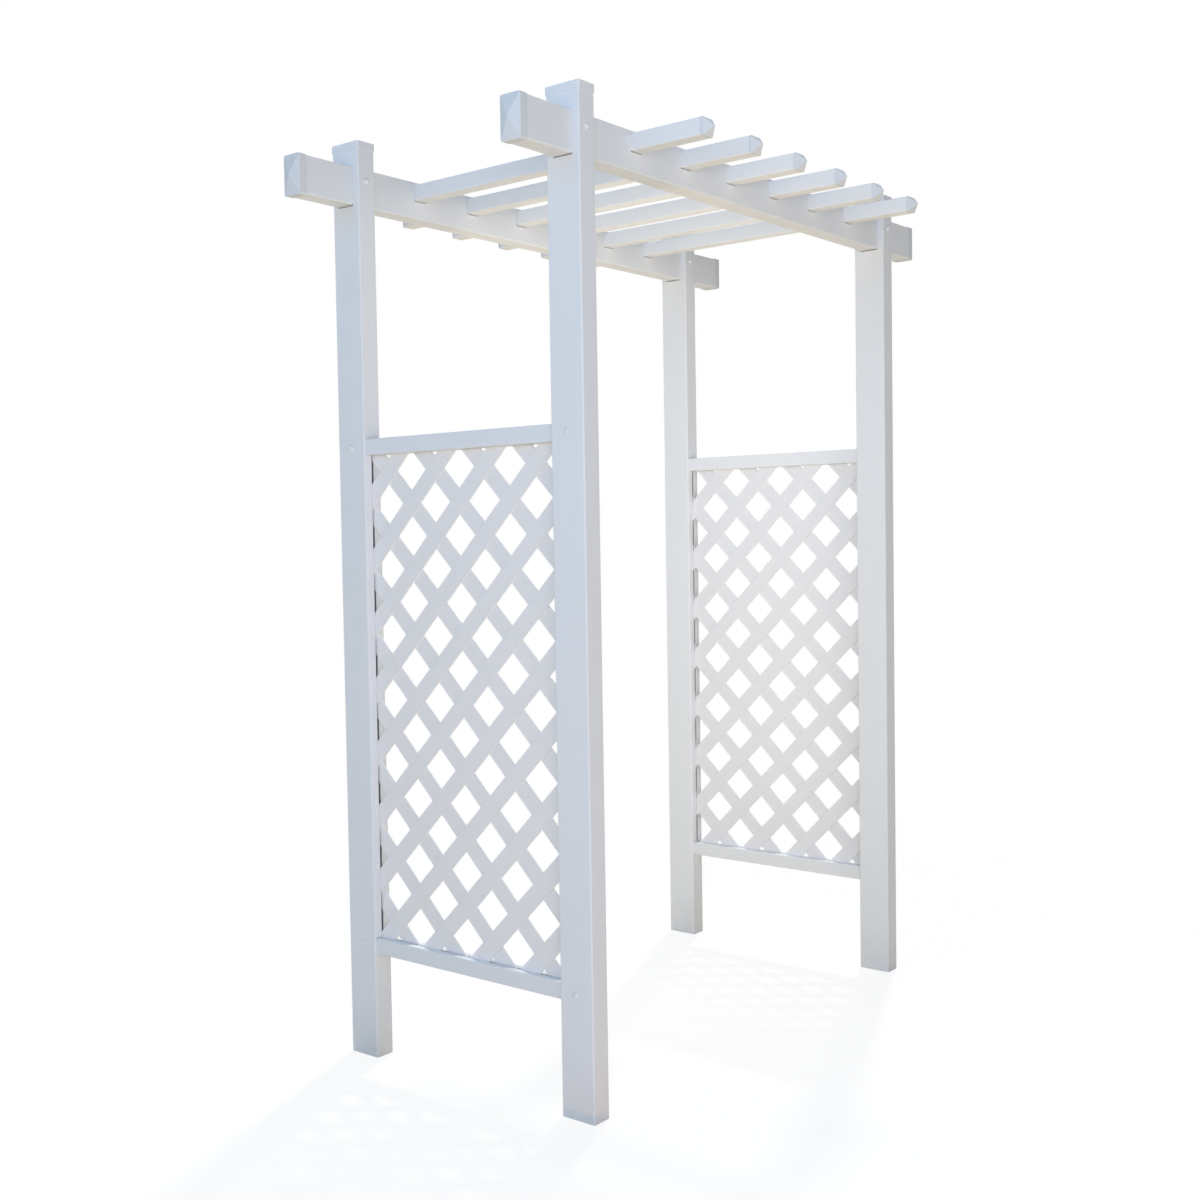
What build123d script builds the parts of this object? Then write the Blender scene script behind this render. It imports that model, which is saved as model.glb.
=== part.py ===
"""Flat-topped garden arbor in white extruded vinyl, with two lattice sides and no gate.

Frame: millimetres, +Z up, origin on the ground at the middle of the four posts.
X runs across the walkway, along the beams. Y runs through the walkway, along the purlins.
Left is -X, right is +X, front is -Y and back is +Y.
"""

import os
from math import ceil, hypot, sqrt

from build123d import *

# Large extrusion, stood on end as a post and laid on edge as a beam
BAR_THIN = 50.8
BAR_DEEP = 88.9
BAR_WALL = 2.5
BAR_CORNER = 3.5

# Small extrusions: square purlins, and rails set back from the post's faces
PURLIN_SIDE = 38.1
RAIL_HEIGHT = 38.1
RAIL_SETBACK = 6.35
SMALL_WALL = 2.0
SMALL_CORNER = 2.5

# Clear openings and overhangs that set the layout
WALKWAY_WIDTH = 1267.0
PANEL_WIDTH = 579.5
FOOT_GAP = 250.0
PANEL_OPENING = 1150.0
WINDOW_HEIGHT = 548.0
POST_HEAD = 56.0
BEAM_OVERHANG = 157.3
PURLIN_OVERHANG = 181.0
PURLIN_COUNT = 6
PURLIN_TOP_GAP = 4.3
RAIL_END_GAP = 16.0

# Lattice: strips crossing at right angles in two layers, cut from a larger sheet
STRIP_WIDTH = 41.3
STRIP_THICK = 2.8
LATTICE_HOLE = 66.7
LATTICE_BITE = 9.5
LATTICE_TILT = 45.0
CROSSING_SHARE = 0.5
LEFT_PATTERN_SHIFT = 4.9
LEFT_PATTERN_DROP = 41.0
RIGHT_PATTERN_SHIFT = -23.2
RIGHT_PATTERN_DROP = 39.2

# Moulded caps
CAP_WALL = 1.6
POST_CAP_SKIRT = 15.0
BEAM_CAP_SKIRT = 19.0
BEAM_CAP_RISE = 9.5
BEAM_CAP_POINT = 3.0
CAP_EDGE = 1.2
TIP_COLLAR = 6.0
TIP_RISE = 18.3
TIP_FLAT = 1.5
TIP_SEAM = 0.5
PLUG_LENGTH = 15.0
PLUG_WALL = 1.6

# Screws and the domed covers pressed over their heads, both faceted because there are many of them
SHANK_RADIUS = 2.1
HEAD_RADIUS = 4.0
HEAD_HEIGHT = 2.4
SCREW_SIDES = 8
SCREW_BITE = 8.0
COVER_RADIUS = 6.4
COVER_RIM = 2.1
COVER_HEIGHT = 5.6
COVER_SIDES = 12
COVER_TAPER = 45.0
BEAM_SCREW_HEIGHT = 56.0

# Clearances: rails rest on the floors of their sockets, and screws draw the roof bars up in theirs
SOCKET_PLAY = 0.4
RAIL_SLACK = 0.8
ROOF_SLACK = 2.0
CAP_PLAY = 0.2
PLUG_PLAY = 0.2
SLOT_PLAY = 0.5
SCREW_PLAY = 0.1
COVER_PLAY = 0.2

# Heights from the ground up
lower_rail_z = FOOT_GAP + RAIL_HEIGHT / 2
panel_bottom = FOOT_GAP + RAIL_HEIGHT
panel_top = panel_bottom + PANEL_OPENING
upper_rail_z = panel_top + RAIL_HEIGHT / 2
beam_bottom = panel_top + RAIL_HEIGHT + WINDOW_HEIGHT
beam_z = beam_bottom + BAR_DEEP / 2
beam_top = beam_bottom + BAR_DEEP
post_length = beam_top + POST_HEAD
purlin_z = beam_top - BAR_WALL - PURLIN_TOP_GAP - PURLIN_SIDE / 2

# Places in plan
post_x = WALKWAY_WIDTH / 2 + BAR_THIN / 2
post_y = PANEL_WIDTH / 2 + BAR_DEEP / 2
beam_length = WALKWAY_WIDTH + 2 * (BAR_THIN + BEAM_OVERHANG)
purlin_length = 2 * (post_y + BAR_THIN / 2 + PURLIN_OVERHANG)
purlin_gap = (WALKWAY_WIDTH - PURLIN_COUNT * PURLIN_SIDE) / (PURLIN_COUNT + 1)
purlin_pitch = purlin_gap + PURLIN_SIDE
purlin_xs = [(index - (PURLIN_COUNT - 1) / 2) * purlin_pitch for index in range(PURLIN_COUNT)]
rail_width = BAR_THIN - 2 * RAIL_SETBACK
rail_length = PANEL_WIDTH + 2 * (BAR_DEEP - BAR_WALL - RAIL_END_GAP)
sides = {"left": -1, "right": 1}
ends = {"front": -1, "back": 1}

# Lattice sheet: it stands on the floor of the lower rail and enters the upper rail and both posts
sheet_width = PANEL_WIDTH + 2 * (BAR_WALL + LATTICE_BITE)
sheet_bottom = FOOT_GAP + SMALL_WALL
sheet_top = panel_top + SMALL_WALL + LATTICE_BITE
sheet_height = sheet_top - sheet_bottom
slot_width = 2 * (STRIP_THICK + SLOT_PLAY)

# Screw lengths reach through the wall that they hold
rail_screw_length = RAIL_SETBACK + SMALL_WALL + SCREW_BITE
beam_screw_length = (BAR_DEEP - BAR_THIN) / 2 + BAR_WALL + SCREW_BITE
purlin_screw_length = BAR_WALL + PURLIN_TOP_GAP + SMALL_WALL + SCREW_BITE


def bar_section(width, depth, wall, corner):
    """Hollow rounded section of an extrusion, drawn in the current sketch."""
    RectangleRounded(width, depth, corner)
    Rectangle(width - 2 * wall, depth - 2 * wall, mode=Mode.SUBTRACT)


def socket_section(width, depth, slack):
    """Outline of the routed socket for a bar of this size, drawn in the current sketch."""
    Rectangle(width + 2 * SOCKET_PLAY, depth + slack)


def pyramid(base, width, depth, rise, point, mode=Mode.ADD):
    """Four facets that rise from a rectangle on the base plane to a small flat, in the current part."""
    inset = (width - point) / 2
    run = inset * depth / width
    with Locations(base):
        Wedge(
            xsize=width,
            ysize=rise,
            zsize=depth,
            xmin=inset,
            zmin=run,
            xmax=width - inset,
            zmax=depth - run,
            rotation=(90, 0, 0),
            align=(Align.CENTER, Align.MIN, Align.CENTER),
            mode=mode,
        )


def screw_holes(seats, depth):
    """Holes drilled from each seat into the current part."""
    with BuildSketch(*seats) as holes:
        RegularPolygon(SHANK_RADIUS + SCREW_PLAY, SCREW_SIDES)
    extrude(holes.sketch, amount=depth, both=True, mode=Mode.SUBTRACT)


def save(part, name):
    """Name a finished piece and write its file."""
    part.label = name
    export_step(part, f"parts/{name}.step")


def rail_seats(side, end):
    """Where the two rail screws enter the outer face of one post."""
    face = (side * (post_x + BAR_THIN / 2), end * post_y)
    return [Plane((*face, z), x_dir=(0, 1, 0), z_dir=(side, 0, 0)) for z in (lower_rail_z, upper_rail_z)]


def beam_seat(side, end):
    """Where the beam screw enters the front face of one post."""
    face = (side * post_x, end * post_y - BAR_DEEP / 2, beam_bottom + BEAM_SCREW_HEIGHT)
    return Plane(face, x_dir=(1, 0, 0), z_dir=(0, -1, 0))


def purlin_seat(x, end):
    """Where the screw of one purlin enters the top of one beam."""
    return Plane((x, end * post_y, beam_top))


os.makedirs("parts", exist_ok=True)

# Posts: the large extrusion on end, routed for the beam, both rails and the edge of the lattice
for side_name, side in sides.items():
    for end_name, end in ends.items():
        with BuildPart() as post:
            with BuildSketch():
                with Locations((side * post_x, end * post_y)):
                    bar_section(BAR_THIN, BAR_DEEP, BAR_WALL, BAR_CORNER)
            extrude(amount=post_length)
            with BuildSketch(Plane.YZ.offset(side * post_x)):
                with Locations((end * post_y, beam_z - ROOF_SLACK / 2)):
                    socket_section(BAR_THIN, BAR_DEEP, ROOF_SLACK)
            extrude(amount=BAR_THIN, both=True, mode=Mode.SUBTRACT)
            with BuildSketch(Plane.XZ.offset(-end * post_y)):
                with Locations(*[(side * post_x, z + RAIL_SLACK / 2) for z in (lower_rail_z, upper_rail_z)]):
                    socket_section(rail_width, RAIL_HEIGHT, RAIL_SLACK)
                with Locations((side * post_x, (lower_rail_z + upper_rail_z) / 2)):
                    Rectangle(slot_width, upper_rail_z - lower_rail_z)
            extrude(amount=end * BAR_DEEP, mode=Mode.SUBTRACT)
            screw_holes(rail_seats(side, end), rail_screw_length)
            screw_holes([beam_seat(side, end)], beam_screw_length)
        save(post.part, f"post_{end_name}_{side_name}")

# Post caps: flat moulded lids whose skirts slip over the post tops
cap_lip = CAP_WALL + CAP_PLAY
for side_name, side in sides.items():
    for end_name, end in ends.items():
        with BuildPart() as post_cap:
            with BuildSketch(Plane.XY.offset(post_length - POST_CAP_SKIRT)):
                with Locations((side * post_x, end * post_y)):
                    RectangleRounded(BAR_THIN + 2 * cap_lip, BAR_DEEP + 2 * cap_lip, BAR_CORNER + cap_lip)
            extrude(amount=POST_CAP_SKIRT + CAP_WALL)
            chamfer(post_cap.edges().group_by(Axis.Z)[-1], CAP_EDGE)
            with BuildSketch(Plane.XY.offset(post_length - POST_CAP_SKIRT)):
                with Locations((side * post_x, end * post_y)):
                    Rectangle(BAR_THIN + 2 * CAP_PLAY, BAR_DEEP + 2 * CAP_PLAY)
            extrude(amount=POST_CAP_SKIRT, mode=Mode.SUBTRACT)
        save(post_cap.part, f"post_cap_{end_name}_{side_name}")

# Beams: the large extrusion on edge, through the posts, with a row of square sockets for the purlins
for end_name, end in ends.items():
    with BuildPart() as beam:
        with BuildSketch(Plane.YZ):
            with Locations((end * post_y, beam_z)):
                bar_section(BAR_THIN, BAR_DEEP, BAR_WALL, BAR_CORNER)
        extrude(amount=beam_length / 2, both=True)
        with BuildSketch(Plane.XZ.offset(-end * post_y)):
            with Locations(*[(x, purlin_z - ROOF_SLACK / 2) for x in purlin_xs]):
                socket_section(PURLIN_SIDE, PURLIN_SIDE, ROOF_SLACK)
        extrude(amount=BAR_THIN, both=True, mode=Mode.SUBTRACT)
        screw_holes([beam_seat(side, end) for side in sides.values()], beam_screw_length)
        screw_holes([purlin_seat(x, end) for x in purlin_xs], purlin_screw_length)
    save(beam.part, f"beam_{end_name}")

# Beam caps: moulded skirts with a hollow four-sided pyramid for a face
lid_width = BAR_THIN + 2 * cap_lip
lid_depth = BAR_DEEP + 2 * cap_lip
hollow_width = BAR_THIN - 2 * BAR_WALL
hollow_depth = BAR_DEEP - 2 * BAR_WALL
for end_name, end in ends.items():
    for side_name, side in sides.items():
        skirt_end = (side * (beam_length / 2 - BEAM_CAP_SKIRT), end * post_y, beam_z)
        mouth = Plane(skirt_end, x_dir=(0, 1, 0), z_dir=(side, 0, 0))
        rim = mouth.offset(BEAM_CAP_SKIRT + CAP_WALL)
        with BuildPart() as beam_cap:
            with BuildSketch(mouth):
                Rectangle(lid_width, lid_depth)
            extrude(amount=BEAM_CAP_SKIRT + CAP_WALL)
            pyramid(rim, lid_width, lid_depth, BEAM_CAP_RISE, BEAM_CAP_POINT)
            with BuildSketch(mouth):
                RectangleRounded(lid_width, lid_depth, BAR_CORNER + cap_lip)
            extrude(amount=BEAM_CAP_SKIRT + CAP_WALL + BEAM_CAP_RISE, mode=Mode.INTERSECT)
            with BuildSketch(mouth):
                Rectangle(BAR_THIN + 2 * CAP_PLAY, BAR_DEEP + 2 * CAP_PLAY)
            extrude(amount=BEAM_CAP_SKIRT, mode=Mode.SUBTRACT)
            # The hollow behind the face leaves a ledge for the beam's wall to stop against
            hollow_rise = BEAM_CAP_RISE * hollow_width / lid_width
            stop = mouth.offset(BEAM_CAP_SKIRT)
            pyramid(stop, hollow_width, hollow_depth, hollow_rise, BEAM_CAP_POINT, Mode.SUBTRACT)
        save(beam_cap.part, f"beam_cap_{end_name}_{side_name}")

# Purlins: small square tubes that pass through both beams
for index, x in enumerate(purlin_xs, start=1):
    with BuildPart() as purlin:
        with BuildSketch(Plane.XZ):
            with Locations((x, purlin_z)):
                bar_section(PURLIN_SIDE, PURLIN_SIDE, SMALL_WALL, SMALL_CORNER)
        extrude(amount=purlin_length / 2, both=True)
        screw_holes([purlin_seat(x, end) for end in ends.values()], purlin_screw_length)
    save(purlin.part, f"purlin_{index}")

# Purlin tips: hollow pyramids with a short collar flush with the tube and a plug inside it
plug_side = PURLIN_SIDE - 2 * (SMALL_WALL + PLUG_PLAY)
hollow_side = plug_side - 2 * PLUG_WALL
# A flat corner that meets the middle of the tube's round one
tip_corner = SMALL_CORNER * (2 - sqrt(2))
for index, x in enumerate(purlin_xs, start=1):
    for end_name, end in ends.items():
        mouth = Plane((x, end * purlin_length / 2, purlin_z), x_dir=(1, 0, 0), z_dir=(0, end, 0))
        base = mouth.offset(TIP_COLLAR)
        with BuildPart() as tip:
            with BuildSketch(mouth):
                Rectangle(PURLIN_SIDE, PURLIN_SIDE)
            extrude(amount=TIP_COLLAR)
            pyramid(base, PURLIN_SIDE, PURLIN_SIDE, TIP_RISE, TIP_FLAT)
            with BuildSketch(mouth) as outline:
                Rectangle(PURLIN_SIDE, PURLIN_SIDE)
                chamfer(outline.vertices(), tip_corner)
            extrude(amount=TIP_COLLAR + TIP_RISE, mode=Mode.INTERSECT)
            seam_face = tip.faces().sort_by(Axis(mouth.origin, mouth.z_dir))[0]
            chamfer(seam_face.edges(), TIP_SEAM)
            with BuildSketch(mouth.offset(-PLUG_LENGTH)):
                Rectangle(plug_side, plug_side)
            extrude(amount=PLUG_LENGTH)
            with BuildSketch(mouth.offset(-PLUG_LENGTH)):
                Rectangle(hollow_side, hollow_side)
            extrude(amount=PLUG_LENGTH + TIP_COLLAR, mode=Mode.SUBTRACT)
            hollow_rise = TIP_RISE * hollow_side / PURLIN_SIDE
            pyramid(base, hollow_side, hollow_side, hollow_rise, TIP_FLAT, Mode.SUBTRACT)
        save(tip.part, f"purlin_tip_{index}_{end_name}")

# Rails: tubes between the posts, slotted on the side that faces the lattice
rails = {"lower": (lower_rail_z, 1), "upper": (upper_rail_z, -1)}
for side_name, side in sides.items():
    for row, (rail_name, (rail_z, lattice_way)) in enumerate(rails.items()):
        with BuildPart() as rail:
            with BuildSketch(Plane.XZ):
                with Locations((side * post_x, rail_z)):
                    bar_section(rail_width, RAIL_HEIGHT, SMALL_WALL, SMALL_CORNER)
            extrude(amount=rail_length / 2, both=True)
            with Locations((side * post_x, 0, rail_z + lattice_way * RAIL_HEIGHT / 2)):
                Box(slot_width, sheet_width + 2 * SLOT_PLAY, RAIL_HEIGHT, mode=Mode.SUBTRACT)
            screw_holes([rail_seats(side, end)[row] for end in ends.values()], rail_screw_length)
        save(rail.part, f"{rail_name}_rail_{side_name}")

# Lattice: two layers of strips to a side, crossing at right angles and cut off square at the sheet's edge
pattern_pitch = STRIP_WIDTH + LATTICE_HOLE
strip_reach = hypot(sheet_width, sheet_height)
strip_count = 2 * ceil(strip_reach / pattern_pitch)
pattern_centres = {
    "left": (LEFT_PATTERN_SHIFT, panel_top - LEFT_PATTERN_DROP),
    "right": (RIGHT_PATTERN_SHIFT, panel_top - RIGHT_PATTERN_DROP),
}
layers = {-1: 180 - LATTICE_TILT, 1: LATTICE_TILT}
for side_name, side in sides.items():
    for layer_side, tilt in layers.items():
        layer_start = side * post_x + min(layer_side, 0) * STRIP_THICK
        with BuildPart() as layer:
            with BuildSketch(Plane.YZ.offset(layer_start)) as strips:
                with Locations(Location((*pattern_centres[side_name], 0), (0, 0, tilt))):
                    with GridLocations(0, pattern_pitch, 1, strip_count):
                        Rectangle(2 * strip_reach, STRIP_WIDTH)
                with Locations((0, sheet_bottom + sheet_height / 2)):
                    Rectangle(sheet_width, sheet_height, mode=Mode.INTERSECT)
                # Corner off-cuts that no crossing strip would hold drop out
                for strip in strips.faces():
                    if strip.area < CROSSING_SHARE * STRIP_WIDTH**2:
                        add(strip, mode=Mode.SUBTRACT)
            extrude(amount=STRIP_THICK)
        layer_name = "outer" if layer_side == side else "inner"
        save(layer.part, f"lattice_{side_name}_{layer_name}")


def screw_body(length):
    """Screw whose head stands on the seat, with its shank going down."""
    with BuildPart() as body:
        with BuildSketch():
            RegularPolygon(HEAD_RADIUS, SCREW_SIDES)
        extrude(amount=HEAD_HEIGHT)
        with BuildSketch():
            RegularPolygon(SHANK_RADIUS, SCREW_SIDES)
        extrude(amount=-length)
    return body.part


def fasteners(name, body, seats):
    """One node of like fasteners, a copy at each seat."""
    with BuildPart() as group:
        with Locations(*seats):
            add(body)
    save(group.part, name)


# Cover: a button with a straight rim, a crown that slopes in, and a pocket that grips the screw's head
with BuildPart() as cover:
    with BuildSketch():
        RegularPolygon(COVER_RADIUS, COVER_SIDES)
    extrude(amount=COVER_RIM)
    with BuildSketch(Plane.XY.offset(COVER_RIM)):
        RegularPolygon(COVER_RADIUS, COVER_SIDES)
    extrude(amount=COVER_HEIGHT - COVER_RIM, taper=COVER_TAPER)
    with BuildSketch():
        RegularPolygon(HEAD_RADIUS + COVER_PLAY, SCREW_SIDES)
    extrude(amount=HEAD_HEIGHT, mode=Mode.SUBTRACT)

# Fasteners: rails through the posts' outer faces, beams through the posts' front faces, purlins from above
post_places = [(side, end) for side in sides.values() for end in ends.values()]
rail_screw_seats = [seat for place in post_places for seat in rail_seats(*place)]
beam_screw_seats = [beam_seat(*place) for place in post_places]
purlin_screw_seats = [purlin_seat(x, end) for x in purlin_xs for end in ends.values()]
fasteners("purlin_screws", screw_body(purlin_screw_length), purlin_screw_seats)
fasteners("rail_screws", screw_body(rail_screw_length), rail_screw_seats)
fasteners("rail_screw_covers", cover.part, rail_screw_seats)
fasteners("beam_screws", screw_body(beam_screw_length), beam_screw_seats)
fasteners("beam_screw_covers", cover.part, beam_screw_seats)
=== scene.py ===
from math import cos, pi, radians, sin

import bmesh
import bpy
from mathutils import Matrix, Vector


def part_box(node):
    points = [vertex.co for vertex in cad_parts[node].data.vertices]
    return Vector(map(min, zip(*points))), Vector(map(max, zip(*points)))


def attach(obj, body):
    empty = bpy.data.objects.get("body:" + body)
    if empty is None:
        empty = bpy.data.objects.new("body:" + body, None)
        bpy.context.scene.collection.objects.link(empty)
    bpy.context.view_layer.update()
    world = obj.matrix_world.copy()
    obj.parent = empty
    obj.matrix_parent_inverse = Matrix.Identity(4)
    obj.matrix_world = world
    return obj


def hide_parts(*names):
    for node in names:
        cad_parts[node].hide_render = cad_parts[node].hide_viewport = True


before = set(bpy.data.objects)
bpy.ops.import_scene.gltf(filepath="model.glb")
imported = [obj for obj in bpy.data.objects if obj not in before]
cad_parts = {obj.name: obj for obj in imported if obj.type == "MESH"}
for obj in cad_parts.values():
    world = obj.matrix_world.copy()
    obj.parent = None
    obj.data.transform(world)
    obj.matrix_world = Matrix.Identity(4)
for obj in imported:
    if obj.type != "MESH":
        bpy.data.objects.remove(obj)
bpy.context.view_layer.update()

# Posts
# Four hollow vinyl extrusions with rounded corners, white right through and drawn along their length.
# They stand on the ground and are routed for the beams, the rails and the edges of the lattice.
vinyl_white = (0.83, 0.835, 0.84, 1)
vinyl_greyed = (0.775, 0.785, 0.80, 1)
vinyl_satin = (0.36, 0.50)
vinyl_sheen = 0.12
vinyl_relief = 0.12
vinyl_relief_depth = 0.0005
satin_swing = (0.3, 0.7)
soil_stain = (0.50, 0.455, 0.39, 1)
soil_roughness = 0.8
splash_height = 0.16
usual_dirt = 0.3
fine_lines = 420.0
long_lines = 1.2
lines_upright = (fine_lines, fine_lines, long_lines)


def add_node(tree, kind, inputs=None, **settings):
    """A node with its settings made and its inputs set, or linked where a socket is given."""
    node = tree.nodes.new(kind)
    for label, value in settings.items():
        setattr(node, label, value)
    for label, value in (inputs or {}).items():
        if isinstance(value, bpy.types.NodeSocket):
            tree.links.new(value, node.inputs[label])
        else:
            node.inputs[label].default_value = value
    return node


def noise(tree, place, scale, detail):
    """A cloudy value that changes from place to place."""
    inputs = {"Vector": place, "Scale": scale, "Detail": detail}
    return add_node(tree, "ShaderNodeTexNoise", inputs).outputs["Fac"]


def between(tree, share, first, second):
    """A value that lies this share of the way from the first to the second."""
    return add_node(tree, "ShaderNodeMix", {0: share, 2: first, 3: second}).outputs[0]


def tone_between(tree, share, first, second):
    """A colour that lies this share of the way from the first to the second."""
    return add_node(tree, "ShaderNodeMix", {0: share, 6: first, 7: second}, data_type="RGBA").outputs[2]


def combine(tree, operation, first, second, clamp=False):
    """Two values made into one."""
    node = add_node(
        tree, "ShaderNodeMath", {0: first, 1: second}, operation=operation, use_clamp=clamp
    )
    return node.outputs[0]


def rescale(tree, value, source, target, curve="LINEAR"):
    """A value carried from its source range to a target range, and held at both ends."""
    ranges = {
        "Value": value,
        "From Min": source[0],
        "From Max": source[1],
        "To Min": target[0],
        "To Max": target[1],
    }
    return add_node(tree, "ShaderNodeMapRange", ranges, interpolation_type=curve).outputs[0]


def relief(tree, height, strength, depth):
    """The way the surface faces once this height has made it uneven."""
    inputs = {"Strength": strength, "Distance": depth, "Height": height}
    return add_node(tree, "ShaderNodeBump", inputs).outputs[0]


def effect_group(name, inputs, outputs):
    """An empty shader group with these named sockets, and its inner input and output nodes."""
    group = bpy.data.node_groups.new(name, "ShaderNodeTree")
    for label, kind in inputs.items():
        group.interface.new_socket(label, in_out="INPUT", socket_type=kind)
    for label in outputs:
        group.interface.new_socket(label, in_out="OUTPUT", socket_type="NodeSocketFloat")
    return group, group.nodes.new("NodeGroupInput").outputs, group.nodes.new("NodeGroupOutput").inputs


def draw_line_group():
    """Faint lines that the die leaves along an extrusion, broad clouds of shade and a fine orange peel."""
    cloud_scale = 2.4
    peel_scale = 380.0
    lines_in_shade = 0.35
    peel_in_gloss = 0.6
    peel_in_height = 0.4
    sockets = {"Position": "NodeSocketVector", "Stretch": "NodeSocketVector"}
    group, given, result = effect_group("draw lines", sockets, ["Shade", "Gloss", "Height"])
    stretched = add_node(
        group, "ShaderNodeVectorMath", {0: given["Position"], 1: given["Stretch"]}, operation="MULTIPLY"
    )
    lines = noise(group, stretched.outputs[0], scale=1.0, detail=2.0)
    clouds = noise(group, given["Position"], cloud_scale, detail=3.0)
    peel = noise(group, given["Position"], peel_scale, detail=1.0)
    group.links.new(between(group, lines_in_shade, clouds, lines), result["Shade"])
    group.links.new(between(group, peel_in_gloss, clouds, peel), result["Gloss"])
    group.links.new(between(group, peel_in_height, lines, peel), result["Height"])
    return group


def garden_dirt_group():
    """Soil splashed up from the ground, dust on what faces the sky, and stray specks, as one mask."""
    blotch_scale = 26.0
    dust_slope = (0.3, 1.0)
    dust_most = 0.35
    grit_scale = 190.0
    speck_edge = (0.70, 0.76)
    speck_most = 0.5
    sockets = {
        "Position": "NodeSocketVector",
        "Facing": "NodeSocketVector",
        "Splash Height": "NodeSocketFloat",
        "Amount": "NodeSocketFloat",
    }
    group, given, result = effect_group("garden dirt", sockets, ["Mask"])
    height = add_node(group, "ShaderNodeSeparateXYZ", {0: given["Position"]}).outputs["Z"]
    upward = add_node(group, "ShaderNodeSeparateXYZ", {0: given["Facing"]}).outputs["Z"]
    blotches = noise(group, given["Position"], blotch_scale, detail=5.0)
    grit = noise(group, given["Position"], grit_scale, detail=2.0)
    low = rescale(group, height, (0.0, given["Splash Height"]), (1.0, 0.0), curve="SMOOTHSTEP")
    skyward = rescale(group, upward, dust_slope, (0.0, dust_most))
    specks = rescale(group, grit, speck_edge, (0.0, speck_most))
    splash = combine(group, "MULTIPLY", low, blotches)
    dust = combine(group, "MULTIPLY", skyward, blotches)
    fallen = combine(group, "ADD", splash, dust)
    together = combine(group, "ADD", fallen, specks)
    mask = combine(group, "MULTIPLY", together, given["Amount"], clamp=True)
    group.links.new(mask, result["Mask"])
    return group


draw_lines = draw_line_group()
garden_dirt = garden_dirt_group()


def vinyl_finish(
    name,
    stretch,
    roughness=vinyl_satin,
    sheen=vinyl_sheen,
    dirt=usual_dirt,
    turn=0.0,
    clean=vinyl_white,
    greyed=vinyl_greyed,
):
    """White vinyl whose draw lines run along the axis with the smallest stretch, turned about X."""
    material = bpy.data.materials.new(name)
    material.use_nodes = True
    tree = material.node_tree
    shader = tree.nodes["Principled BSDF"].inputs
    place = add_node(tree, "ShaderNodeTexCoord").outputs["Object"]
    facing = add_node(tree, "ShaderNodeNewGeometry").outputs["Normal"]
    along = add_node(tree, "ShaderNodeMapping", {"Vector": place, "Rotation": (turn, 0, 0)})
    drawn = add_node(
        tree,
        "ShaderNodeGroup",
        {"Position": along.outputs["Vector"], "Stretch": stretch},
        node_tree=draw_lines,
    ).outputs
    soiled = add_node(
        tree,
        "ShaderNodeGroup",
        {"Position": place, "Facing": facing, "Splash Height": splash_height, "Amount": dirt},
        node_tree=garden_dirt,
    ).outputs["Mask"]
    white = tone_between(tree, drawn["Shade"], clean, greyed)
    satin = rescale(tree, drawn["Gloss"], satin_swing, roughness)
    uneven = relief(tree, drawn["Height"], vinyl_relief, vinyl_relief_depth)
    tree.links.new(tone_between(tree, soiled, white, soil_stain), shader["Base Color"])
    tree.links.new(between(tree, soiled, satin, soil_roughness), shader["Roughness"])
    tree.links.new(uneven, shader["Normal"])
    shader["Specular IOR Level"].default_value = sheen
    return material


def dress(names, material):
    """Give these CAD nodes their finish."""
    for name in names:
        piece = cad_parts[name]
        piece.data.materials.clear()
        piece.data.materials.append(material)


ends = ("front", "back")
sides = ("left", "right")
post_names = [f"post_{end}_{side}" for end in ends for side in sides]
dress(post_names, vinyl_finish("post vinyl", lines_upright))

# Rails
# Small square vinyl tubes between the posts of each side, their ends pushed into routed sockets.
# Each has a slot along the side that faces the lattice, and the lattice edge sits in it.
rail_levels = ("lower", "upper")
lines_front_to_back = (fine_lines, long_lines, fine_lines)
rail_names = [f"{level}_rail_{side}" for level in rail_levels for side in sides]
dress(rail_names, vinyl_finish("rail vinyl", lines_front_to_back))

# Lattice
# Flat vinyl strips in two layers, welded where they cross at right angles and cut square from a large sheet.
# The panel is held by the slots of the posts and rails, and has no fastener of its own.
# The two whites differ only as painted light and shade, for lamps too blue at the left and too bright at the
# right.
strip_width = 0.0413
strip_pitch = 0.108
strip_count = 26
strip_reach = 2.7
strip_tilt = 45
strip_ease = 0.0004
strip_ease_steps = 2
scrap_share = 1.25
scrap_surface = scrap_share * strip_width**2
# The left strips are painted warmer and paler as light, the right ones painted darker as shade.
strip_white_painted_per_side = {"left": (0.90, 0.868, 0.848, 1), "right": (0.82, 0.816, 0.82, 1)}
strip_greyed_painted_per_side = {"left": (0.85, 0.823, 0.812, 1), "right": (0.773, 0.773, 0.786, 1)}
pattern_heart = {"left": (0.0049, 1.3971), "right": (-0.0232, 1.3989)}


def grower(name, inputs):
    """An empty geometry tree with these named inputs, and its inner input and output nodes."""
    tree = bpy.data.node_groups.new(name, "GeometryNodeTree")
    tree.interface.new_socket("Geometry", in_out="INPUT", socket_type="NodeSocketGeometry")
    for label, kind in inputs.items():
        tree.interface.new_socket(label, in_out="INPUT", socket_type=kind)
    tree.interface.new_socket("Geometry", in_out="OUTPUT", socket_type="NodeSocketGeometry")
    return tree, tree.nodes.new("NodeGroupInput").outputs, tree.nodes.new("NodeGroupOutput").inputs


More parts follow.
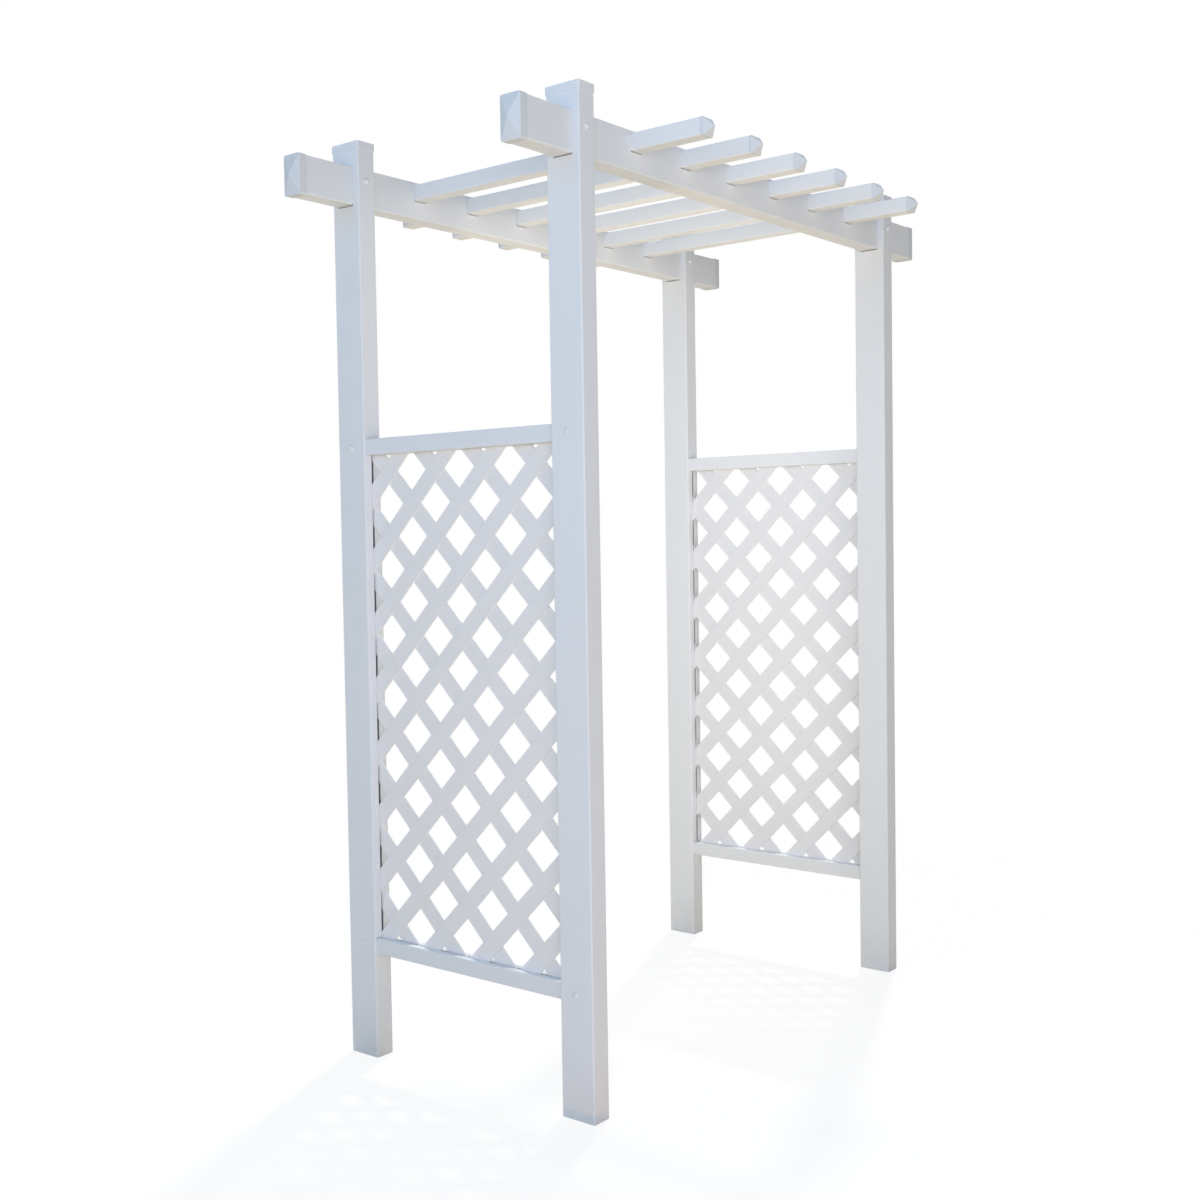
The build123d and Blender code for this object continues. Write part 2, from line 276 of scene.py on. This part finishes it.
def grow(name, seed_mesh, tree, values):
    """An object with the plain mesh that the tree makes of the seed mesh."""
    piece = bpy.data.objects.new(name, seed_mesh)
    bpy.context.scene.collection.objects.link(piece)
    modifier = piece.modifiers.new("growth", "NODES")
    modifier.node_group = tree
    for item in tree.interface.items_tree:
        if item.in_out == "INPUT" and item.name in values:
            modifier[item.identifier] = values[item.name]
    bpy.context.view_layer.update()
    grown = bpy.data.meshes.new_from_object(piece.evaluated_get(bpy.context.evaluated_depsgraph_get()))
    piece.modifiers.remove(modifier)
    piece.data = grown
    grown.name = name
    return piece


def finish_growth(tree, instances, material, result):
    """The end of every tree: plain geometry in its finish."""
    plain = add_node(tree, "GeometryNodeRealizeInstances", {"Geometry": instances})
    painted = add_node(
        tree, "GeometryNodeSetMaterial", {"Geometry": plain.outputs[0], "Material": material}
    )
    tree.links.new(painted.outputs[0], result["Geometry"])


def lattice_tree():
    """A row of strips, turned to their slope, cut off at the sheet's edge, without scraps in the corners."""
    tree, given, result = grower(
        "lattice layer",
        {
            "Strip Size": "NodeSocketVector",
            "Strip Count": "NodeSocketInt",
            "Row Start": "NodeSocketVector",
            "Row Step": "NodeSocketVector",
            "Slope": "NodeSocketVector",
            "Pattern Heart": "NodeSocketVector",
            "Sheet Size": "NodeSocketVector",
            "Sheet Heart": "NodeSocketVector",
            "Scrap Surface": "NodeSocketFloat",
            "Finish": "NodeSocketMaterial",
        },
    )
    strip = add_node(tree, "GeometryNodeMeshCube", {"Size": given["Strip Size"]})
    row = add_node(
        tree,
        "GeometryNodeMeshLine",
        {"Count": given["Strip Count"], "Start Location": given["Row Start"], "Offset": given["Row Step"]},
        mode="OFFSET",
    )
    strips = add_node(
        tree, "GeometryNodeInstanceOnPoints", {"Points": row.outputs[0], "Instance": strip.outputs["Mesh"]}
    )
    loose = add_node(tree, "GeometryNodeRealizeInstances", {"Geometry": strips.outputs[0]})
    slope = add_node(tree, "FunctionNodeEulerToRotation", {"Euler": given["Slope"]})
    laid = add_node(
        tree,
        "GeometryNodeTransform",
        {"Geometry": loose.outputs[0], "Translation": given["Pattern Heart"], "Rotation": slope.outputs[0]},
    )
    block = add_node(tree, "GeometryNodeMeshCube", {"Size": given["Sheet Size"]})
    sheet = add_node(
        tree,
        "GeometryNodeTransform",
        {"Geometry": block.outputs["Mesh"], "Translation": given["Sheet Heart"]},
    )
    cut = add_node(
        tree,
        "GeometryNodeMeshBoolean",
        {"Mesh 2": laid.outputs[0]},
        operation="INTERSECT",
        solver="EXACT",
    )
    tree.links.new(sheet.outputs[0], cut.inputs["Mesh 2"])
    island = add_node(tree, "GeometryNodeInputMeshIsland")
    area = add_node(tree, "GeometryNodeInputMeshFaceArea")
    surface = add_node(
        tree,
        "GeometryNodeAccumulateField",
        {"Value": area.outputs[0], "Group ID": island.outputs["Island Index"]},
        domain="FACE",
    )
    scrap = add_node(
        tree,
        "FunctionNodeCompare",
        {0: surface.outputs["Total"], 1: given["Scrap Surface"]},
        operation="LESS_THAN",
    )
    whole = add_node(
        tree,
        "GeometryNodeDeleteGeometry",
        {"Geometry": cut.outputs[0], "Selection": scrap.outputs[0]},
        domain="FACE",
    )
    finish_growth(tree, whole.outputs[0], given["Finish"], result)
    return tree


def ease_edges(piece, width, steps):
    """Soften the sharp edges of a finished piece."""
    sharp_turn = radians(20)
    bevel = piece.modifiers.new("eased edges", "BEVEL")
    bevel.width = width
    bevel.segments = steps
    bevel.limit_method = "ANGLE"
    bevel.angle_limit = sharp_turn


lattice = lattice_tree()
for side in sides:
    post_low, post_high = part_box(f"post_front_{side}")
    for layer in ("outer", "inner"):
        node = f"lattice_{side}_{layer}"
        low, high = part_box(node)
        heart = (low + high) / 2
        size = high - low
        faces_left = heart.x < (post_low.x + post_high.x) / 2
        slope = radians(180 - strip_tilt if faces_left else strip_tilt)
        strip_vinyl = vinyl_finish(
            f"{side} {layer} lattice vinyl",
            lines_front_to_back,
            turn=-slope,
            clean=strip_white_painted_per_side[side],
            greyed=strip_greyed_painted_per_side[side],
        )
        strips = grow(
            f"lattice_strips_{side}_{layer}",
            bpy.data.meshes.new(node),
            lattice,
            {
                "Strip Size": (size.x, strip_reach, strip_width),
                "Strip Count": strip_count,
                "Row Start": (0, 0, -strip_pitch * (strip_count - 1) / 2),
                "Row Step": (0, 0, strip_pitch),
                "Slope": (slope, 0, 0),
                "Pattern Heart": (heart.x, *pattern_heart[side]),
                "Sheet Size": (2 * size.x, size.y, size.z),
                "Sheet Heart": tuple(heart),
                "Scrap Surface": scrap_surface,
                "Finish": strip_vinyl,
            },
        )
        ease_edges(strips, strip_ease, strip_ease_steps)
        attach(strips, "root")
        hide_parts(node)

# Screws
# Zinc-plated steel screws: two to each post for the rails, one for the beam, and two to each purlin.
# Those of the posts stay hidden under their covers, and those of the purlins sink in from the beams' tops.
zinc_bright = (0.62, 0.63, 0.65, 1)
zinc_dull = (0.45, 0.46, 0.48, 1)
zinc_roughness = (0.25, 0.5)
zinc_relief = 0.2
zinc_relief_depth = 0.0002
zinc_blotch_scale = 700.0


def zinc_finish():
    """Plated steel with the dull blotches of its passivation."""
    material = bpy.data.materials.new("zinc plate")
    material.use_nodes = True
    tree = material.node_tree
    shader = tree.nodes["Principled BSDF"].inputs
    place = add_node(tree, "ShaderNodeTexCoord").outputs["Object"]
    blotches = noise(tree, place, zinc_blotch_scale, detail=3.0)
    tree.links.new(tone_between(tree, blotches, zinc_bright, zinc_dull), shader["Base Color"])
    tree.links.new(rescale(tree, blotches, (0.0, 1.0), zinc_roughness), shader["Roughness"])
    tree.links.new(relief(tree, blotches, zinc_relief, zinc_relief_depth), shader["Normal"])
    shader["Metallic"].default_value = 1.0
    return material


dress(["rail_screws", "beam_screws", "purlin_screws"], zinc_finish())

# Screw covers
# Round buttons moulded in glossy white plastic, with a straight rim and a low dome.
# One snaps over the head of each screw in a post: two on the post's outer face, one high on its front face.
cover_radius = 0.0064
cover_rim = 0.0021
cover_height = 0.0056
cover_roughness = (0.22, 0.34)
cover_dirt = 0.15
dome_rings = 8
round_parts = 32
even_grain = (fine_lines, fine_lines, fine_lines)


def cover_mesh():
    """One closed button, standing on its flat side at the origin and pointing up."""
    crown = cover_height - cover_rim
    ball = (cover_radius**2 + crown**2) / (2 * crown)
    shoulder = []
    for ring in range(1, dome_rings + 1):
        radius = cover_radius * ring / dome_rings
        shoulder.append((radius, cover_height - ball + (ball**2 - radius**2) ** 0.5))
    mesh = bpy.data.meshes.new("cover")
    work = bmesh.new()
    turns = [2 * pi * part / round_parts for part in range(round_parts)]
    rings = [
        [work.verts.new((radius * cos(turn), radius * sin(turn), z)) for turn in turns]
        for radius, z in [*shoulder, (cover_radius, 0)]
    ]
    for inner, outer in zip(rings, rings[1:]):
        for part in range(round_parts):
            after = (part + 1) % round_parts
            work.faces.new((inner[part], outer[part], outer[after], inner[after]))
    work.faces.new(rings[0])
    work.faces.new(reversed(rings[-1]))
    bmesh.ops.recalc_face_normals(work, faces=work.faces)
    for face in work.faces:
        face.smooth = len(face.verts) == 4
    work.to_mesh(mesh)
    work.free()
    return mesh


def cover_tree():
    """Two like rows or rectangles of buttons, each with its own middle and its own way to face."""
    tree, given, result = grower(
        "screw covers",
        {
            "Spread": "NodeSocketVector",
            "Across Count": "NodeSocketInt",
            "Along Count": "NodeSocketInt",
            "Grid Turn": "NodeSocketVector",
            "First Heart": "NodeSocketVector",
            "First Facing": "NodeSocketVector",
            "Second Heart": "NodeSocketVector",
            "Second Facing": "NodeSocketVector",
            "Finish": "NodeSocketMaterial",
        },
    )
    spread = add_node(tree, "ShaderNodeSeparateXYZ", {0: given["Spread"]})
    grid = add_node(
        tree,
        "GeometryNodeMeshGrid",
        {
            "Size X": spread.outputs["X"],
            "Size Y": spread.outputs["Y"],
            "Vertices X": given["Across Count"],
            "Vertices Y": given["Along Count"],
        },
    )
    turn = add_node(tree, "FunctionNodeEulerToRotation", {"Euler": given["Grid Turn"]})
    groups = add_node(tree, "GeometryNodeJoinGeometry")
    for place in ("First", "Second"):
        seats = add_node(
            tree,
            "GeometryNodeTransform",
            {
                "Geometry": grid.outputs["Mesh"],
                "Translation": given[f"{place} Heart"],
                "Rotation": turn.outputs[0],
            },
        )
        facing = add_node(tree, "FunctionNodeEulerToRotation", {"Euler": given[f"{place} Facing"]})
        buttons = add_node(
            tree,
            "GeometryNodeInstanceOnPoints",
            {
                "Points": seats.outputs[0],
                "Instance": given["Geometry"],
                "Rotation": facing.outputs[0],
            },
        )
        tree.links.new(buttons.outputs[0], groups.inputs[0])
    finish_growth(tree, groups.outputs[0], given["Finish"], result)
    return tree


cover_plastic = vinyl_finish("cover plastic", even_grain, roughness=cover_roughness, dirt=cover_dirt)
covers = cover_tree()
rail_low, rail_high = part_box("rail_screw_covers")
rail_span = rail_high - rail_low
rail_cover_z = (rail_low.z + rail_high.z) / 2
rail_face_x = rail_high.x - cover_height
rail_covers = grow(
    "rail_cover_buttons",
    cover_mesh(),
    covers,
    {
        "Spread": (rail_span.z - 2 * cover_radius, rail_span.y - 2 * cover_radius, 0),
        "Across Count": len(rail_levels),
        "Along Count": len(ends),
        "Grid Turn": (0, pi / 2, 0),
        "First Heart": (-rail_face_x, 0, rail_cover_z),
        "First Facing": (0, -pi / 2, 0),
        "Second Heart": (rail_face_x, 0, rail_cover_z),
        "Second Facing": (0, pi / 2, 0),
        "Finish": cover_plastic,
    },
)
beam_low, beam_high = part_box("beam_screw_covers")
beam_span = beam_high - beam_low
beam_cover_x = (beam_span.x - 2 * cover_radius) / 2
beam_cover_y = (beam_low.y + beam_high.y + cover_height) / 2
beam_cover_z = (beam_low.z + beam_high.z) / 2
beam_covers = grow(
    "beam_cover_buttons",
    cover_mesh(),
    covers,
    {
        "Spread": (0, beam_span.y - cover_height, 0),
        "Across Count": 1,
        "Along Count": len(ends),
        "Grid Turn": (0, 0, 0),
        "First Heart": (-beam_cover_x, beam_cover_y, beam_cover_z),
        "First Facing": (pi / 2, 0, 0),
        "Second Heart": (beam_cover_x, beam_cover_y, beam_cover_z),
        "Second Facing": (pi / 2, 0, 0),
        "Finish": cover_plastic,
    },
)
for piece, node in ((rail_covers, "rail_screw_covers"), (beam_covers, "beam_screw_covers")):
    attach(piece, "root")
    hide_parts(node)

# Beams
# The same large extrusion as the posts, laid on edge and passed through a socket in each pair of posts.
# A row of square sockets along each beam carries the purlins.
roof_dirt = 0.2
lines_across = (long_lines, fine_lines, fine_lines)
beam_vinyl = vinyl_finish("beam vinyl", lines_across, dirt=roof_dirt)
dress([f"beam_{end}" for end in ends], beam_vinyl)

# Caps
# Lids moulded in white vinyl, more matt than the extrusions, with short skirts, and pushed on.
# A flat one closes each post. One with a shallow pyramid closes each beam end, and looks a shade greyer.
moulded_roughness = (0.46, 0.58)
moulded_sheen = 0.005
moulded_white = (0.755, 0.768, 0.785, 1)
moulded_greyed = (0.71, 0.725, 0.745, 1)
moulded_vinyl = vinyl_finish(
    "moulded vinyl",
    even_grain,
    roughness=moulded_roughness,
    sheen=moulded_sheen,
    clean=moulded_white,
    greyed=moulded_greyed,
)
post_cap_vinyl = vinyl_finish(
    "post cap vinyl", even_grain, roughness=moulded_roughness, sheen=moulded_sheen
)
dress([f"post_cap_{end}_{side}" for end in ends for side in sides], post_cap_vinyl)
dress([f"beam_cap_{end}_{side}" for end in ends for side in sides], moulded_vinyl)

# Purlins
# Six small square vinyl tubes across the top, passed through both beams and left long at each end.
# They lie in the sockets of the beams, which hold them upright and at even spacing.
purlin_total = 6
# Their white is painted paler than the posts' as painted light, the glow of daylight through their thin
# walls.
purlin_white_painted_pale = (0.865, 0.86, 0.855, 1)
purlin_greyed_painted_pale = (0.815, 0.815, 0.82, 1)
purlin_names = [f"purlin_{number}" for number in range(1, purlin_total + 1)]
purlin_vinyl = vinyl_finish(
    "purlin vinyl", lines_front_to_back, dirt=roof_dirt, clean=purlin_white_painted_pale, greyed=purlin_greyed_painted_pale
)
dress(purlin_names, purlin_vinyl)

# Purlin tips
# Hollow pyramids moulded in matt white vinyl, each with a short collar and a plug pressed into its tube.
# The collar is flush with the tube, and a fine eased seam shows where the two meet.
tip_collar = 0.006
tip_flat = 0.0015
tip_seam = 0.0002
tip_corner = 0.00146
tip_ease = 0.0007
tip_ease_steps = 3
plug_length = 0.015
plug_step = 0.0022
plug_wall = 0.0016


def tip_mesh(side, reach):
    """One hollow tip, its mouth at the origin and its point towards +Y."""
    half = side / 2
    plug = half - plug_step
    hollow = plug - plug_wall
    rise = reach - tip_collar
    levels = [
        (tip_flat / 2, reach),
        (half, tip_collar),
        (half, tip_seam),
        (half - tip_seam, 0),
        (plug, 0),
        (plug, -plug_length),
        (hollow, -plug_length),
        (hollow, tip_collar),
        (tip_flat / 2, tip_collar + rise * hollow / half),
    ]
    work = bmesh.new()
    rings = []
    for extent, along in levels:
        cut = tip_corner * extent / half
        corners = []
        for x_way, z_way in ((1, 1), (-1, 1), (-1, -1), (1, -1)):
            flat_end = (x_way * extent, along, z_way * (extent - cut))
            edge_end = (x_way * (extent - cut), along, z_way * extent)
            pair = (flat_end, edge_end) if x_way == z_way else (edge_end, flat_end)
            corners += [work.verts.new(corner) for corner in pair]
        rings.append(corners)
    for first, second in zip(rings, rings[1:]):
        for number in range(len(first)):
            after = (number + 1) % len(first)
            work.faces.new((first[number], second[number], second[after], first[after]))
    work.faces.new(rings[0])
    work.faces.new(rings[-1])
    bmesh.ops.recalc_face_normals(work, faces=work.faces)
    mesh = bpy.data.meshes.new("tip")
    work.to_mesh(mesh)
    work.free()
    return mesh


def tip_tree():
    """A row of tips on the back ends of the purlins, and the same row turned round on the front ends."""
    tree, given, result = grower(
        "purlin tips",
        {
            "Tip Count": "NodeSocketInt",
            "Back Start": "NodeSocketVector",
            "Front Start": "NodeSocketVector",
            "Row Step": "NodeSocketVector",
            "Front Turn": "NodeSocketVector",
            "Finish": "NodeSocketMaterial",
        },
    )
    turn = add_node(tree, "FunctionNodeEulerToRotation", {"Euler": given["Front Turn"]})
    rows = add_node(tree, "GeometryNodeJoinGeometry")
    for end in ("Back", "Front"):
        row = add_node(
            tree,
            "GeometryNodeMeshLine",
            {
                "Count": given["Tip Count"],
                "Start Location": given[f"{end} Start"],
                "Offset": given["Row Step"],
            },
            mode="OFFSET",
        )
        tips = add_node(
            tree, "GeometryNodeInstanceOnPoints", {"Points": row.outputs[0], "Instance": given["Geometry"]}
        )
        if end == "Front":
            tree.links.new(turn.outputs[0], tips.inputs["Rotation"])
        tree.links.new(tips.outputs[0], rows.inputs[0])
    finish_growth(tree, rows.outputs[0], given["Finish"], result)
    return tree


first_low, first_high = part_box("purlin_1")
last_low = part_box(f"purlin_{purlin_total}")[0]
first_heart = (first_low + first_high) / 2
tip_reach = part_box("purlin_tip_1_back")[1].y - first_high.y
purlin_step = (last_low.x - first_low.x) / (purlin_total - 1)
tips = grow(
    "purlin_tip_caps",
    tip_mesh(first_high.x - first_low.x, tip_reach),
    tip_tree(),
    {
        "Tip Count": purlin_total,
        "Back Start": (first_heart.x, first_high.y, first_heart.z),
        "Front Start": (first_heart.x, first_low.y, first_heart.z),
        "Row Step": (purlin_step, 0, 0),
        "Front Turn": (0, 0, pi),
        "Finish": moulded_vinyl,
    },
)
ease_edges(tips, tip_ease, tip_ease_steps)
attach(tips, "root")
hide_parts(*[f"purlin_tip_{number}_{end}" for number in range(1, purlin_total + 1) for end in ends])

# Floor
# Plain pale ground that the arbor stands on, which throws a warm light up at it.
# The camera sees it as almost white, with the arbor's own shadow, and it fades to white far away.
floor_half = 14.0
floor_drop = 0.0005
floor_cream = (0.60, 0.51, 0.36, 1)
floor_white = (0.96, 0.96, 0.96, 1)
shadow_near = 0.9
shadow_far = 3.2
shadow_share = 0.12


def looked_at(tree):
    """1 where the camera or a reflection looks, 0 where light is only passed on."""
    ray = add_node(tree, "ShaderNodeLightPath").outputs
    mirrored = combine(tree, "MAXIMUM", ray["Is Glossy Ray"], ray["Is Transmission Ray"])
    return combine(tree, "MAXIMUM", mirrored, ray["Is Camera Ray"])


floor_mesh = bpy.data.meshes.new("floor")
corner_ways = ((-1, -1), (1, -1), (1, 1), (-1, 1))
floor_mesh.from_pydata(
    [(floor_half * x, floor_half * y, -floor_drop) for x, y in corner_ways], [], [(0, 1, 2, 3)]
)
floor = bpy.data.objects.new("floor", floor_mesh)
bpy.context.scene.collection.objects.link(floor)
floor_paint = bpy.data.materials.new("pale ground")
floor_paint.use_nodes = True
paint = floor_paint.node_tree
paint.nodes.remove(paint.nodes["Principled BSDF"])
ground_place = add_node(paint, "ShaderNodeTexCoord").outputs["Object"]
distance = add_node(paint, "ShaderNodeVectorMath", {0: ground_place}, operation="LENGTH").outputs["Value"]
fade = rescale(paint, distance, (shadow_near, shadow_far), (1 - shadow_share, 1.0))
bounce = add_node(paint, "ShaderNodeBsdfDiffuse", {"Color": floor_cream})
lit = add_node(paint, "ShaderNodeBsdfDiffuse", {"Color": floor_white})
bare = add_node(paint, "ShaderNodeEmission", {"Strength": 1.0})
seen = add_node(paint, "ShaderNodeMixShader", {0: fade, 1: lit.outputs[0], 2: bare.outputs[0]})
ground = add_node(
    paint, "ShaderNodeMixShader", {0: looked_at(paint), 1: bounce.outputs[0], 2: seen.outputs[0]}
)
paint.links.new(ground.outputs[0], paint.nodes["Material Output"].inputs["Surface"])
floor_mesh.materials.append(floor_paint)

# Sky
# A dim pale dome that keeps the sides away from the lamps from going dark.
# Plain white stands behind the arbor and in its reflections.
sky_pale = (0.86, 0.92, 1.0, 1)
sky_strength = 0.12
backdrop_white = (1, 1, 1, 1)

world = bpy.data.worlds.new("studio sky")
bpy.context.scene.world = world
world.use_nodes = True
dome = world.node_tree
dome.nodes.clear()
sky = add_node(dome, "ShaderNodeBackground", {"Color": sky_pale, "Strength": sky_strength})
backdrop = add_node(dome, "ShaderNodeBackground", {"Color": backdrop_white, "Strength": 1.0})
shown = add_node(
    dome, "ShaderNodeMixShader", {0: looked_at(dome), 1: sky.outputs[0], 2: backdrop.outputs[0]}
)
horizon = add_node(dome, "ShaderNodeOutputWorld")
dome.links.new(shown.outputs[0], horizon.inputs["Surface"])

# Lamps
# A soft high sun at the right, and broad cool lights above and behind, at the left and at the back right.
# A blue panel hangs high at the left, a wide one stands at the front left and a warm one lies on the ground.
# Two small panels in the walkway light the right side and the back.
soft_lights = {
    "sun": {"from": (0.5, 0.2, 0.85), "spread": 3, "strength": 1.8, "tint": (1.0, 0.97, 0.92)},
    "overhead light": {"from": (0.1, 0.8, 1), "spread": 90, "strength": 1.35, "tint": (0.65, 0.82, 1.0)},
    "left light": {"from": (-1, 0.1, 0.1), "spread": 50, "strength": 0.8, "tint": (0.52, 0.71, 1.0)},
    "back right light": {"from": (1, 0.7, 0.25), "spread": 90, "strength": 0.7, "tint": (0.52, 0.7, 1.0)},
}
soft_light_distance = 6.0
panels = {
    "high left panel": {
        "place": (-3.0, -1.0, 3.4),
        "facing": (0.75, 0.2, -0.5),
        "size": (3.0, 2.0),
        "power": 15.0,
        "tint": (0.25, 0.6, 1.0),
    },
    "front left panel": {
        "place": (-3.0, -4.2, 1.1),
        "facing": (0.6, 0.8, 0),
        "size": (6.0, 2.2),
        "power": 138.0,
        "tint": (0.77, 0.83, 1.0),
    },
    "ground panel": {
        "place": (-2.0, -1.6, 0.02),
        "facing": (0, 0, 1),
        "size": (3.0, 3.0),
        "power": 5.5,
        "tint": (1.0, 0.52, 0.2),
    },
    "walkway panel": {
        "place": (-0.35, 0, 1.0),
        "facing": (1, 0, 0),
        "size": (1.2, 1.9),
        "power": 3.1,
        "tint": (1.0, 0.82, 0.58),
    },
    "doorway panel": {
        "place": (0, -0.25, 1.2),
        "facing": (0, 1, 0),
        "size": (1.0, 1.8),
        "power": 2.2,
        "tint": (1.0, 0.98, 0.98),
    },
}


def lamp(name, kind, place, facing):
    """A lamp at a place, turned to face one way, that neither the camera nor a reflection shows."""
    data = bpy.data.lights.new(name, kind)
    bulb = bpy.data.objects.new(name, data)
    turn = facing.to_track_quat("-Z", "Y").to_matrix().to_4x4()
    bulb.matrix_world = Matrix.Translation(place) @ turn
    bulb.visible_camera = False
    bulb.visible_glossy = False
    bpy.context.scene.collection.objects.link(bulb)
    return data


for name, light in soft_lights.items():
    source = Vector(light["from"])
    soft = lamp(name, "SUN", soft_light_distance * source, -source)
    soft.angle = radians(light["spread"])
    soft.energy = light["strength"]
    soft.color = light["tint"]
for name, light in panels.items():
    panel = lamp(name, "AREA", Vector(light["place"]), Vector(light["facing"]))
    panel.shape = "RECTANGLE"
    panel.size, panel.size_y = light["size"]
    panel.energy = light["power"]
    panel.color = light["tint"]

# Camera
# Chest high in front of the left side, at the angle of the photograph.
# Its place, heading and lens bring the posts, beams and rails where the photograph has them.
camera_place = Vector((-2.9688, -2.2497, 1.2292))
camera_heading = radians(38.774)
camera_pitch = radians(-2.386)
camera_roll = radians(-0.884)
camera_lens = 42.85
camera_sensor = 36.0

camera_data = bpy.data.cameras.new("camera")
camera_data.lens = camera_lens
camera_data.sensor_width = camera_sensor
camera = bpy.data.objects.new("camera", camera_data)
camera.matrix_world = (
    Matrix.Translation(camera_place)
    @ Matrix.Rotation(camera_heading - pi / 2, 4, "Z")
    @ Matrix.Rotation(camera_pitch + pi / 2, 4, "X")
    @ Matrix.Rotation(camera_roll, 4, "Z")
)
bpy.context.scene.collection.objects.link(camera)
bpy.context.scene.camera = camera
bpy.context.scene.view_settings.view_transform = "Standard"
